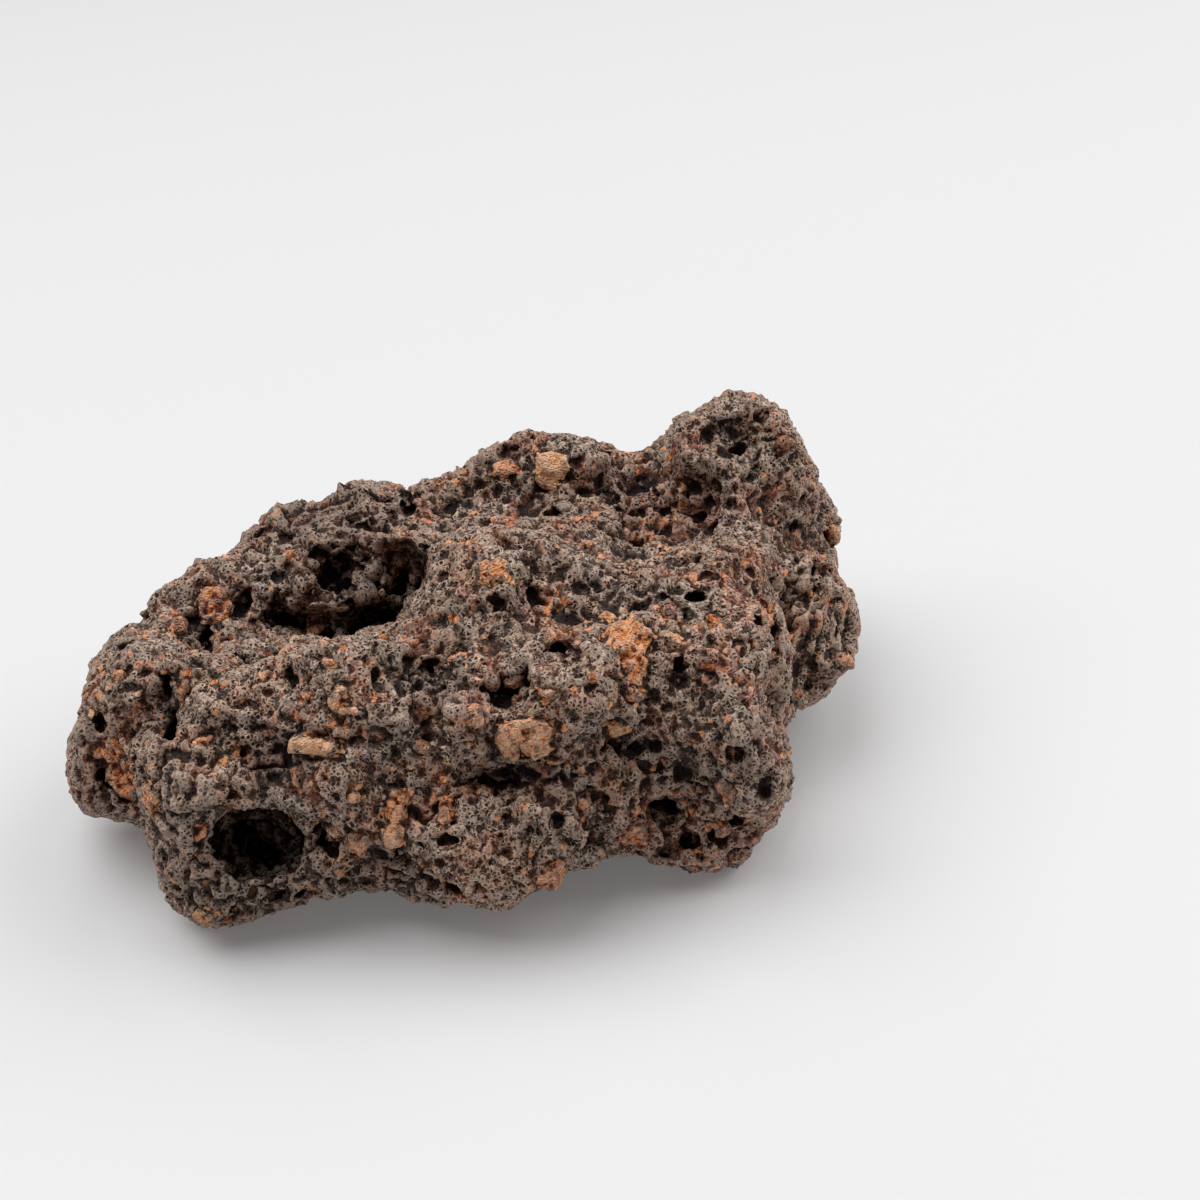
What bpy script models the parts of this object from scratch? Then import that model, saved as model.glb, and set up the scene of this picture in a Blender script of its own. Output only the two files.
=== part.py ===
"""An impactite: one natural stone of dark vesicular impact glass, standing on small flats.

The stone is modelled in millimetres and scaled to metres at the end. +X runs along it, +Y away
from its knobbly front, +Z up, with the origin on the ground under its middle. It is built the way
a sculptor would: lumps fused into one mass, trimmed to the outline that the stone shows to a
viewer in front, then hollowed, roughened and set on the ground.
"""

import math

import bmesh
import bpy
from mathutils import Matrix, Vector
from mathutils.bvhtree import BVHTree

MM = 0.001

# The viewpoint that the outline and the front's details are given for, in mm and degrees
VIEW_POINT = Vector((3.88, -66.50, 50.43))
VIEW_ELEVATION = 33.22
VIEW_AZIMUTH = 1.01
VIEW_ROLL = 3.92
VIEW_DISTANCE = 84.0

# Grain of the remeshing, rounds of smoothing after each stage, and the number of facets
FUSE_VOXEL = 0.40
FINE_VOXEL = 0.28
MASS_ROUNDS = 4
TRIM_ROUNDS = 2
LAST_ROUNDS = 3
TRIANGLES = 9400

# Uneven relief: grain in mm, height in mm, and the level of the texture where nothing moves
RELIEFS = {
    "swells": (4.2, 2.4, 0.50),
    "ledges": (2.4, 1.9, 0.58),
    "nodules": (1.3, 0.55, 0.55),
}

# How a lump is made: fineness, and how far full squareness pushes it out to a cube
LUMP_FINENESS = 4
CUBE_PUSH = 0.6

# The trim: how much wider than the outline it is the first time, and the solid's near and far
# ends as shares of VIEW_DISTANCE
FIRST_ALLOWANCE = 1.03
LAST_ALLOWANCE = 1.0
CONE_ENDS = (0.6, 1.5)

# Forms set square to the surface: the radius its direction is averaged over, and the most that
# a slanting surface may stretch them
SOFT_RADIUS = 1.3
LEAST_FACING = 0.65

# How far out a side is looked at from, and how much of the mass lies below the ground, in mm
SIDE_REACH = 60.0
GROUND_BITE = 0.30

DARK_GLASS = (0.060, 0.047, 0.040, 1.0)
GLASS_ROUGHNESS = 0.72

# The lumps that make the mass: centre and half-sizes in mm, squareness 0 to 1, turn about Z
LUMPS = {
    "middle": ((2.5, -1.2, 5.2), (9.6, 8.6, 5.2), 0.55, 8),
    "left shoulder": ((-6.6, -1.0, 4.0), (6.6, 6.8, 3.9), 0.50, 0),
    "left lobe": ((-11.6, -2.0, 4.4), (3.4, 4.8, 3.3), 0.20, -10),
    "front left block": ((-7.2, -5.6, 4.0), (4.7, 4.4, 4.1), 0.60, 0),
    "front left crown": ((-8.5, -5.3, 6.2), (2.5, 2.2, 2.7), 0.45, 0),
    "front left foot": ((-8.7, -7.0, 1.6), (2.6, 2.2, 2.1), 0.30, 0),
    "front bump": ((1.0, -7.4, 3.6), (3.9, 3.9, 3.0), 0.25, 0),
    "front middle": ((-2.6, -6.6, 3.9), (4.4, 3.7, 3.4), 0.40, 0),
    "front right block": ((7.9, -5.4, 4.4), (3.5, 4.1, 4.5), 0.45, 0),
    "front right foot": ((7.6, -7.2, 1.6), (2.7, 2.4, 2.3), 0.35, 0),
    "peak": ((10.4, 4.6, 8.3), (3.4, 3.6, 4.4), 0.35, 20),
    "right shoulder": ((11.9, 5.4, 5.6), (3.2, 3.7, 3.5), 0.15, 0),
    "right lobe": ((12.4, 1.0, 4.5), (2.9, 3.8, 3.1), 0.15, 12),
    "back knob": ((-3.6, 5.4, 7.0), (2.5, 2.5, 2.5), 0.10, 0),
    "back ridge": ((3.6, 5.4, 7.4), (4.9, 3.0, 3.3), 0.30, 0),
    "back left": ((-7.0, 3.6, 5.0), (4.9, 4.2, 3.8), 0.30, 0),
    "back foot": ((2.2, 6.2, 3.6), (6.2, 3.6, 3.9), 0.30, 0),
    "back right fill": ((8.0, 4.2, 4.9), (4.2, 4.2, 4.2), 0.30, 0),
    "back left fill": ((-3.4, 4.4, 4.1), (4.4, 3.6, 3.5), 0.30, 0),
}

# The outline seen from the viewpoint, clockwise, mm right and up on a plane VIEW_DISTANCE away
OUTLINE = [
    (-20.3, -6.1), (-20.1, -5.0), (-19.6, -3.6), (-19.4, -2.6), (-18.5, -1.6), (-16.9, -0.1),
    (-15.9, 0.8), (-15.2, 1.6), (-13.9, 1.8), (-13.3, 2.7), (-12.3, 3.6), (-11.4, 3.8),
    (-10.2, 4.1), (-9.5, 4.6), (-8.9, 4.7), (-8.1, 4.5), (-7.7, 4.3), (-7.5, 3.9),
    (-6.3, 4.5), (-5.2, 5.0), (-4.6, 5.6), (-3.9, 5.9), (-2.9, 6.4), (-1.9, 6.3),
    (-0.5, 6.2), (0.4, 6.3), (1.8, 6.2), (2.4, 6.5), (3.1, 7.0), (4.0, 7.3),
    (5.0, 7.8), (5.9, 7.9), (6.5, 7.7), (7.1, 7.0), (7.5, 6.1), (8.3, 4.9),
    (8.4, 4.1), (8.9, 3.5), (9.4, 2.9), (9.0, 1.9), (9.1, 0.9), (9.6, 0.2),
    (9.8, -0.7), (9.6, -1.9), (9.1, -2.9), (8.4, -3.8), (7.7, -4.1), (7.1, -4.2),
    (6.9, -4.9), (7.2, -5.9), (7.2, -7.3), (6.9, -8.5), (6.1, -9.1), (5.5, -10.1),
    (4.4, -10.7), (3.7, -10.7), (3.1, -10.4), (2.3, -10.1), (0.1, -10.2), (-1.1, -10.4),
    (-1.6, -10.9), (-2.6, -11.5), (-3.7, -11.9), (-5.0, -11.7), (-6.3, -11.4), (-8.3, -11.2),
    (-9.5, -11.4), (-10.6, -11.7), (-12.5, -12.0), (-14.5, -12.4), (-15.3, -12.4),
    (-16.2, -11.7), (-16.8, -10.7), (-16.9, -9.7), (-17.3, -9.1), (-18.5, -9.0),
    (-19.1, -8.6), (-19.7, -7.8), (-20.2, -7.2),
]

# Raised forms on the front: place on the view plane, half-width, half-height, how far they stand
# out, and their slant in degrees
RAISED = {
    "left ledge": ((-15.0, -2.6), 2.2, 0.40, 0.8, 6),
    "ledge rise": ((-12.0, -2.9), 1.9, 0.45, 0.7, -8),
    "front left brow": ((-13.3, -3.6), 2.2, 0.8, 0.6, 4),
    "left ridge": ((-16.2, -6.2), 0.60, 1.7, 0.7, 4),
    "left ridge foot": ((-16.2, -8.2), 0.60, 1.0, 0.6, 10),
    "lobe crown": ((-18.1, -3.2), 1.0, 1.3, 0.6, -30),
    "cavity brow": ((-9.8, 2.7), 2.0, 0.50, 0.8, 14),
    "cavity sill": ((-9.4, -2.2), 2.4, 0.50, 0.8, -4),
    "sill front": ((-10.2, -3.6), 1.7, 0.9, 0.8, 10),
    "cavity cheek": ((-5.9, -0.4), 0.6, 1.3, 0.8, 12),
    "middle arc": ((-1.6, -1.5), 1.3, 0.35, 0.6, 0),
    "bump crest": ((-2.0, -8.2), 1.5, 0.50, 0.8, -24),
    "basin rim": ((1.6, 2.7), 1.8, 0.35, 0.7, -28),
    "right spine": ((5.4, -3.4), 0.8, 1.8, 0.7, -4),
    "right boss": ((4.6, -1.8), 2.0, 0.9, 0.7, 10),
    "right corner": ((6.0, -7.1), 0.8, 1.2, 0.6, 0),
    "upper swell": ((-4.4, 1.4), 1.5, 1.5, 0.8, -10),
    "top crest": ((-1.9, 5.0), 2.6, 0.6, 0.7, 0),
    "front nose": ((-10.8, -5.2), 1.6, 0.7, 0.7, 0),
    "middle rib": ((-5.2, -4.2), 0.8, 1.0, 0.7, 14),
    "clast block": ((-2.9, -5.1), 1.1, 0.8, 0.6, 8),
    "edge grain": ((8.9, 2.8), 0.6, 0.6, 0.6, 0),
}

# Deep holes in the front, sunk along the line of sight: place on the view plane, half-width,
# half-height, depth, and slant
DEEP_HOLES = {
    "round vesicle": ((-13.1, -9.25), 1.60, 1.25, 3.6, -8),
    "cavity basin": ((-9.3, 0.9), 2.3, 1.2, 1.8, 6),
    "cavity middle": ((-10.1, 1.1), 0.9, 0.75, 3.4, 0),
    "cavity right": ((-7.3, 1.1), 0.8, 1.1, 3.6, 10),
    "cavity slot": ((-10.9, -0.95), 1.5, 0.65, 9.0, 0),
    "cavity slot left": ((-12.1, -0.65), 0.8, 0.40, 5.0, -24),
    "cavity slot right": ((-8.6, -0.65), 1.5, 0.60, 9.0, 6),
    "left dark pit": ((-15.2, -1.4), 0.8, 0.80, 2.6, 30),
    "ledge shade": ((-13.5, -2.0), 1.2, 0.50, 1.5, -6),
    "left groove": ((-16.5, -4.4), 0.42, 1.4, 2.0, 0),
    "pebble hole": ((-10.5, -9.2), 0.55, 0.80, 1.4, 10),
    "low slot": ((-7.7, -9.9), 0.8, 0.40, 1.2, 0),
    "middle crevice": ((-1.6, -2.2), 1.1, 0.40, 1.2, 0),
    "long pit": ((3.7, 0.1), 0.60, 0.32, 0.9, 0),
    "front right cavity": ((2.4, -8.0), 0.9, 0.60, 1.9, 0),
    "low right cavity": ((3.6, -9.2), 0.8, 0.5, 1.4, 0),
}

# Dips in the front, sunk square to the surface: as above
DIPS = {
    "knob dimple": ((-8.3, 3.75), 0.60, 0.35, 0.8, 0),
    "left hollow": ((-18.6, -7.0), 1.0, 0.9, 1.0, 0),
    "soft hollow": ((-12.6, -6.3), 1.0, 0.7, 0.8, 0),
    "under clast": ((-6.7, -8.1), 0.7, 0.50, 0.8, 0),
    "bump groove": ((-3.4, -6.9), 1.9, 0.50, 1.0, -6),
    "bump crevice": ((-1.2, -8.2), 1.2, 0.40, 1.1, -34),
    "middle dip": ((-6.6, -3.1), 1.2, 1.0, 0.8, 30),
    "middle dip foot": ((-6.5, -4.6), 0.7, 0.9, 1.0, 0),
    "clast hollow": ((-3.7, -3.4), 1.2, 0.65, 0.9, 0),
    "red basin": ((2.9, 3.4), 2.1, 1.2, 1.1, -16),
    "basin pocket": ((1.3, 2.2), 0.9, 0.8, 0.9, 0),
    "peak hollow": ((5.3, 6.2), 1.3, 0.8, 0.8, 10),
    "front right dip": ((3.1, -7.4), 1.7, 2.2, 1.0, 20),
    "upper right dip": ((1.0, -5.6), 0.6, 1.2, 0.8, 20),
    "lobe crevice": ((7.5, 0.3), 0.40, 1.6, 1.4, -30),
    "lobe furrow": ((6.8, -2.6), 0.40, 1.4, 1.1, -8),
    "lobe underside": ((8.0, -3.0), 0.9, 0.6, 0.8, 20),
}

# Dips in the sides that the viewer doesn't see: compass angle in degrees from +X towards +Y,
# height, half-width, half-height, depth and slant
SIDE_DIPS = {
    "back vesicle": (72, 5.4, 1.5, 1.2, 2.2, 10),
    "back pit": (98, 3.4, 0.9, 0.7, 1.2, 0),
    "back groove": (118, 4.6, 1.9, 0.6, 1.1, 24),
    "back left pit": (146, 3.6, 1.1, 0.9, 1.3, 0),
    "back left dip": (160, 5.6, 1.6, 1.0, 0.9, -12),
    "back right hollow": (44, 3.8, 1.5, 1.2, 1.4, -20),
    "back right groove": (26, 6.6, 1.8, 0.6, 0.9, 30),
    "behind the peak": (38, 8.4, 1.3, 1.5, 1.0, 10),
    "right shoulder dip": (18, 5.2, 1.4, 1.2, 1.1, 0),
    "behind the knob": (112, 6.6, 1.3, 1.0, 1.0, 0),
    "right end pit": (8, 3.4, 0.9, 0.8, 1.1, 0),
    "right end dip": (-8, 6.0, 1.2, 1.3, 0.8, 0),
    "right front dip": (-30, 5.2, 1.3, 1.4, 0.8, 10),
    "left end hollow": (180, 3.2, 1.2, 0.8, 0.9, 0),
    "left end groove": (192, 4.8, 1.4, 0.5, 0.8, 28),
}

# Hollows in the underside: x, y, half-sizes along x and y, depth
UNDER_HOLLOWS = {
    "front arch": (0.0, -5.8, 5.4, 3.4, 2.2),
    "left arch": (-12.6, 0.2, 3.2, 3.8, 1.8),
    "right arch": (12.4, -0.6, 4.6, 6.4, 2.0),
    "belly": (1.0, -0.4, 7.4, 4.6, 1.4),
    "back arch": (-9.0, 5.0, 4.8, 3.6, 1.8),
    "under vesicle": (-3.6, 1.6, 1.3, 1.1, 2.2),
    "under pit": (5.0, 0.2, 0.9, 1.2, 1.6),
}


def view_matrix():
    """The viewer's frame: X to the right, Y up and Z back towards the viewer."""
    turn = Matrix.Rotation(math.radians(-VIEW_AZIMUTH), 4, "Z")
    tilt = Matrix.Rotation(math.radians(90.0 - VIEW_ELEVATION), 4, "X")
    roll = Matrix.Rotation(math.radians(-VIEW_ROLL), 4, "Z")
    return Matrix.Translation(VIEW_POINT) @ turn @ tilt @ roll


def seen_at(right, up):
    """The line of sight through a point of the view plane."""
    frame = view_matrix()
    target = frame @ Vector((right, up, -VIEW_DISTANCE))
    return VIEW_POINT.copy(), (target - VIEW_POINT).normalized()


def from_side(angle, height):
    """A level line from outside towards the stone's upright middle axis."""
    out = Vector((math.cos(math.radians(angle)), math.sin(math.radians(angle)), 0.0))
    return out * SIDE_REACH + Vector((0.0, 0.0, height)), -out


def squared(point, squareness):
    """Pushes a point of the unit sphere out towards the cube around it."""
    reach = max(abs(point.x), abs(point.y), abs(point.z))
    return point.lerp(point / reach, squareness * CUBE_PUSH)


def add_lump(target, centre, half_sizes, squareness=0.0, frame=None):
    """Adds a closed rounded lump to a bmesh, turned by the 3x3 frame."""
    start = len(target.verts)
    bmesh.ops.create_icosphere(target, subdivisions=LUMP_FINENESS, radius=1.0)
    target.verts.ensure_lookup_table()
    frame = frame or Matrix.Identity(3)
    for vert in target.verts[start:]:
        local = squared(vert.co, squareness)
        local = Vector(a * b for a, b in zip(local, half_sizes))
        vert.co = frame @ local + Vector(centre)


def object_from(target, name):
    """Makes a scene object of a bmesh, and frees the bmesh."""
    mesh = bpy.data.meshes.new(name)
    target.to_mesh(mesh)
    target.free()
    made = bpy.data.objects.new(name, mesh)
    bpy.context.scene.collection.objects.link(made)
    return made


def settle(stone):
    """Applies the modifiers of an object."""
    graph = bpy.context.evaluated_depsgraph_get()
    result = bpy.data.meshes.new_from_object(stone.evaluated_get(graph))
    stone.modifiers.clear()
    old = stone.data
    stone.data = result
    bpy.data.meshes.remove(old)


def add_remesh(stone, voxel):
    remesh = stone.modifiers.new("Fuse", "REMESH")
    remesh.mode = "VOXEL"
    remesh.voxel_size = voxel


def add_smooth(stone, rounds):
    smooth = stone.modifiers.new("Soften", "SMOOTH")
    smooth.factor = 0.5
    smooth.iterations = rounds


def add_relief(stone, name):
    """Rises and dips of a cloudy texture."""
    grain, height, level = RELIEFS[name]
    texture = bpy.data.textures.new(name, "CLOUDS")
    texture.noise_scale = grain
    relief = stone.modifiers.new(name, "DISPLACE")
    relief.texture = texture
    relief.strength = height
    relief.mid_level = level


def add_decimate(stone, triangles):
    thin = stone.modifiers.new("Facets", "DECIMATE")
    thin.ratio = triangles / sum(len(face.vertices) - 2 for face in stone.data.polygons)
    thin.use_collapse_triangulate = True


def cut_with(stone, helper, operation):
    """Cuts the stone with a helper, which is then used up."""
    helper.hide_render = True
    helper.display_type = "WIRE"
    cut = stone.modifiers.new(helper.name, "BOOLEAN")
    cut.operation = operation
    cut.object = helper
    cut.solver = "EXACT"
    settle(stone)
    bpy.data.objects.remove(helper, do_unlink=True)


def join_into(stone, helper):
    """Adds the helper's closed shells to the stone's mesh, for the next remesh to fuse."""
    joined = bmesh.new()
    joined.from_mesh(stone.data)
    joined.from_mesh(helper.data)
    old = stone.data
    stone.data = bpy.data.meshes.new("stone")
    joined.to_mesh(stone.data)
    joined.free()
    bpy.data.meshes.remove(old)
    bpy.data.objects.remove(helper, do_unlink=True)


def rough_mass():
    """The lumps fused into one uneven mass."""
    lumps = bmesh.new()
    for centre, half_sizes, squareness, turn in LUMPS.values():
        frame = Matrix.Rotation(math.radians(turn), 3, "Z")
        add_lump(lumps, centre, half_sizes, squareness, frame)
    stone = object_from(lumps, "stone")
    add_remesh(stone, FUSE_VOXEL)
    add_smooth(stone, MASS_ROUNDS)
    add_relief(stone, "swells")
    settle(stone)
    return stone


def outline_cone(allowance):
    """The solid of all lines of sight inside the outline, made wider by the allowance."""
    frame = view_matrix()
    middle = sum((Vector(point) for point in OUTLINE), Vector((0.0, 0.0))) / len(OUTLINE)
    cone = bmesh.new()
    rings = []
    for share in CONE_ENDS:
        ring = []
        for right, up in OUTLINE:
            wide = Vector((right - middle.x, up - middle.y)) * allowance + middle
            point = frame @ (Vector((wide.x, wide.y, -VIEW_DISTANCE)) * share)
            ring.append(cone.verts.new(point))
        rings.append(ring)
    cone.faces.new(rings[0])
    cone.faces.new(reversed(rings[1]))
    count = len(OUTLINE)
    for i in range(count):
        j = (i + 1) % count
        cone.faces.new((rings[0][j], rings[0][i], rings[1][i], rings[1][j]))
    bmesh.ops.triangulate(cone, faces=cone.faces)
    bmesh.ops.recalc_face_normals(cone, faces=cone.faces)
    return object_from(cone, "outline_cone")


def surface_of(stone):
    graph = bpy.context.evaluated_depsgraph_get()
    return BVHTree.FromObject(stone, graph)


def sight_frame(direction):
    """A 3x3 frame whose Z points back along a direction, with X level."""
    across = direction.cross(Vector((0.0, 0.0, 1.0))).normalized()
    return Matrix((across, across.cross(direction), -direction)).transposed()


def soft_normal(surface, place):
    """The surface's normal, averaged over a small area."""
    total = Vector()
    for found in surface.find_nearest_range(place, SOFT_RADIUS):
        total += found[1]
    return total.normalized()


def add_sunk(target, surface, line, half_width, half_height, depth, slant):
    """Adds an ellipsoid along the line, widest where the line meets the surface."""
    start, direction = line
    place = surface.ray_cast(start, direction)[0]
    frame = sight_frame(direction) @ Matrix.Rotation(math.radians(slant), 3, "Z")
    add_lump(target, place, (half_width, half_height, depth), 0.0, frame)


def add_square(target, surface, line, half_width, half_height, depth, slant):
    """Adds an ellipsoid square to the surface. Its half-height is as seen along the line."""
    start, direction = line
    place = surface.ray_cast(start, direction)[0]
    normal = soft_normal(surface, place)
    facing = max(-normal.dot(direction), LEAST_FACING)
    sight = sight_frame(direction) @ Matrix.Rotation(math.radians(slant), 3, "Z")
    across = sight.col[0]
    along = (across - normal * across.dot(normal)).normalized()
    frame = Matrix((along, normal.cross(along), normal)).transposed()
    stretched = half_height / facing
    add_lump(target, place, (half_width, stretched, depth), 0.0, frame)


def raised_forms(surface):
    forms = bmesh.new()
    for (right, up), *sizes in RAISED.values():
        add_square(forms, surface, seen_at(right, up), *sizes)
    return object_from(forms, "raised_forms")


def hollow_forms(surface):
    forms = bmesh.new()
    for (right, up), *sizes in DEEP_HOLES.values():
        add_sunk(forms, surface, seen_at(right, up), *sizes)
    for (right, up), *sizes in DIPS.values():
        add_square(forms, surface, seen_at(right, up), *sizes)
    for angle, height, *sizes in SIDE_DIPS.values():
        add_square(forms, surface, from_side(angle, height), *sizes)
    for x, y, *half_sizes in UNDER_HOLLOWS.values():
        add_lump(forms, (x, y, 0.0), half_sizes)
    hollows = object_from(forms, "hollow_forms")
    add_remesh(hollows, FINE_VOXEL)
    settle(hollows)
    return hollows


def ground_block():
    """Everything below the ground, so that the stone stands on flats."""
    block = bmesh.new()
    bmesh.ops.create_cube(block, size=SIDE_REACH)
    bmesh.ops.translate(block, verts=block.verts, vec=(0.0, 0.0, GROUND_BITE - SIDE_REACH / 2))
    return object_from(block, "ground_block")


def centre_on_ground(stone):
    """Puts the middle of the stone's box over the origin, and its lowest face at zero."""
    corners = [vert.co for vert in stone.data.vertices]
    low = Vector(min(corner[i] for corner in corners) for i in range(3))
    high = Vector(max(corner[i] for corner in corners) for i in range(3))
    shift = Vector((-(low.x + high.x) / 2, -(low.y + high.y) / 2, -low.z))
    stone.data.transform(Matrix.Translation(shift))


def glass_material():
    material = bpy.data.materials.new("impact_glass")
    material.use_nodes = True
    shader = material.node_tree.nodes["Principled BSDF"]
    shader.inputs["Base Color"].default_value = DARK_GLASS
    shader.inputs["Roughness"].default_value = GLASS_ROUGHNESS
    shader.inputs["Metallic"].default_value = 0.0
    return material


def build_stone():
    stone = rough_mass()
    cut_with(stone, outline_cone(FIRST_ALLOWANCE), "INTERSECT")
    add_remesh(stone, FINE_VOXEL)
    add_smooth(stone, TRIM_ROUNDS)
    add_relief(stone, "ledges")
    settle(stone)
    join_into(stone, raised_forms(surface_of(stone)))
    add_remesh(stone, FINE_VOXEL)
    settle(stone)
    cut_with(stone, hollow_forms(surface_of(stone)), "DIFFERENCE")
    cut_with(stone, outline_cone(LAST_ALLOWANCE), "INTERSECT")
    add_remesh(stone, FINE_VOXEL)
    add_smooth(stone, LAST_ROUNDS)
    add_relief(stone, "nodules")
    settle(stone)
    add_decimate(stone, TRIANGLES)
    settle(stone)
    cut_with(stone, ground_block(), "DIFFERENCE")
    centre_on_ground(stone)
    stone.data.transform(Matrix.Scale(MM, 4))
    stone.data.materials.append(glass_material())
    return stone


def main():
    for leftover in list(bpy.data.objects):
        bpy.data.objects.remove(leftover, do_unlink=True)
    build_stone()


main()
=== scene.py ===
"""The looks of an impactite: dark vesicular impact glass with mineral clasts fused in it.

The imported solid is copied, given its lumps, its bubbles and its grain, and dressed in a procedural
material. Lengths are in millimetres until the skin is finished. Places named as pixels are in a
frame of 1200 by 1200 pixels, and every form that they place is set on the stone's own surface.
"""

import itertools
import math

import bmesh
import bpy
import numpy as np
from mathutils import Matrix, Vector
from mathutils.bvhtree import BVHTree


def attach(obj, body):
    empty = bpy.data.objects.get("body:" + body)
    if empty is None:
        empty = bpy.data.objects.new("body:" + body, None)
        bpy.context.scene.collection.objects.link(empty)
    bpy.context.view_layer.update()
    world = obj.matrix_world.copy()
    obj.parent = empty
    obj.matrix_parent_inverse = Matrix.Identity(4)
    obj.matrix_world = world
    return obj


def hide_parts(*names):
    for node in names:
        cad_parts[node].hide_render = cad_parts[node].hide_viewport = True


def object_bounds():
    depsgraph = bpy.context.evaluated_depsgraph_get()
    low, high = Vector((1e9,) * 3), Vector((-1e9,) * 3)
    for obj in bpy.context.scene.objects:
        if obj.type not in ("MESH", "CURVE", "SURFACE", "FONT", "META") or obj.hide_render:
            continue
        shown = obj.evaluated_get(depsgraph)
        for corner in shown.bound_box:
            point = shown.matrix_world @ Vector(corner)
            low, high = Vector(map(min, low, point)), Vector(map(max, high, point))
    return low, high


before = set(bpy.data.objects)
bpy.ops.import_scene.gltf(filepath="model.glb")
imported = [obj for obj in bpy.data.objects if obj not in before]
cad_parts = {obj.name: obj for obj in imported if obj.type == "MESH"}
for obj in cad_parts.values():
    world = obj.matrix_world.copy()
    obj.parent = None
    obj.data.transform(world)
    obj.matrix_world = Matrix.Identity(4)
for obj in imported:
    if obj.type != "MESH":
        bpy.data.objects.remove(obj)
CAD_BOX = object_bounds()

MM = 0.001
SEED = 11

# The camera: place in mm, angles in degrees, lens and sensor in mm, and the frame in pixels
EYE = Vector((3.849, -65.944, 50.130))
ELEVATION = 33.22
AZIMUTH = 1.01
ROLL = 3.92
LENS = 66.18
SENSOR = 36.0
FRAME_PIXELS = 1200
NEAR_CLIP = 5.0
FAR_CLIP = 20000.0

# The cells of the first mesh, of the hollows and of the skin in mm, and the skin's triangles
BASE_VOXEL = 0.20
HOLLOW_VOXEL = 0.085
SKIN_VOXEL = 0.095
SKIN_TRIANGLES = 197000

# How far past the solid's box the skin may go, as a share of the box
BOX_ROOM = 0.012

# How sunken each point is, noted at three breadths: the rounds of averaging for each
HOLLOW_ROUNDS = {"dent": 6, "hollow": 60, "deep": 240}

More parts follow.
